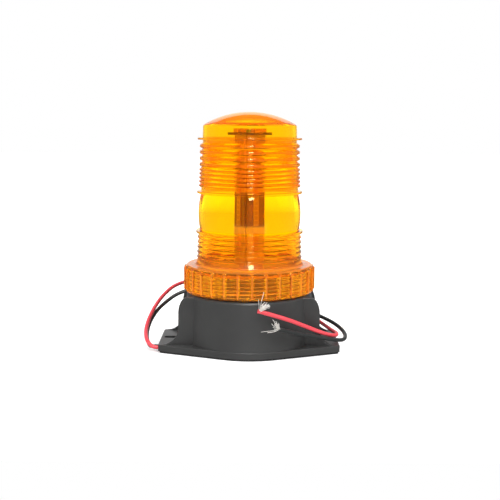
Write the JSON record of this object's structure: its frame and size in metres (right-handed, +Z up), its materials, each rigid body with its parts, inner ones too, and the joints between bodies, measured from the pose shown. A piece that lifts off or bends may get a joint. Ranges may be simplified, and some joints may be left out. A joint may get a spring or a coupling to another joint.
{
  "type": "warning light",
  "caption": "Amber warning beacon: ribbed Fresnel lens screwed on a dark two-ear base, with an LED column inside, a grip collar, slotted bolt ears and bare flying leads.",
  "frame": {"origin": "middle of the underside of the mounting pad, on the axis of the lens", "axes": "+Z up along the axis of the lens, X along the two mounting ears, the front faces -Y"},
  "size_m": [0.1315, 0.0982, 0.15],
  "materials": {
    "pad_rubber": "soft matt black rubber",
    "seal_silicone": "soft pale silicone",
    "housing_plastic": "moulded charcoal plastic with a fine satin texture",
    "screw_steel": "zinc-plated steel",
    "circuit_board": "glass-fibre laminate with a dark solder mask",
    "led_board_laminate": "brown glass-fibre laminate",
    "capacitor_can": "sleeved aluminium can",
    "ferrite": "dark ferrite",
    "chip_body": "moulded epoxy",
    "terminal_plastic": "moulded plastic",
    "post_brass": "turned brass",
    "led_body": "white package with a yellow phosphor window",
    "amber_lens": "clear amber polycarbonate, polished",
    "red_insulation": "soft red insulation",
    "black_insulation": "soft black insulation",
    "tinned_copper": "tinned copper strands"
  },
  "bodies": {
    "base": {"mounting_pad": "pad_rubber", "base_housing": "housing_plastic", "bottom_cover": "housing_plastic", "cover_screws": "screw_steel", "lead_grommet": "pad_rubber", "driver_board": "circuit_board", "board_screws": "screw_steel", "input_capacitor": "capacitor_can", "filter_inductor": "ferrite", "driver_chips": "chip_body", "lead_terminal": "terminal_plastic", "column_post": "post_brass", "post_screws": "screw_steel", "top_board": "led_board_laminate", "top_leds": "led_body", "led_board_1": "led_board_laminate", "led_row_1": "led_body", "led_board_2": "led_board_laminate", "led_row_2": "led_body", "led_board_3": "led_board_laminate", "led_row_3": "led_body", "led_board_4": "led_board_laminate", "led_row_4": "led_body", "red_lead_inner": "red_insulation", "black_lead_inner": "black_insulation", "red_lead": "red_insulation", "black_lead": "black_insulation", "red_lead_strands": "tinned_copper", "black_lead_strands": "tinned_copper"},
    "seal": {"lens_seal": "seal_silicone"},
    "lens": {"lens": "amber_lens"}
  },
  "joints": [
    {"name": "lens_lift", "type": "slide", "parent": "base", "child": "seal", "axis": [0, 0, 1], "range_m": [0, 0.0118]},
    {"name": "lens_turn", "type": "hinge", "parent": "seal", "child": "lens", "pos_m": [0, 0, 0.052], "axis": [0, 0, 1], "range_deg": [0, 900]}
  ],
  "couplings": [
    {"joint": "lens_lift", "follows": "lens_turn", "m_per_rad": 0.00074803}
  ]
}
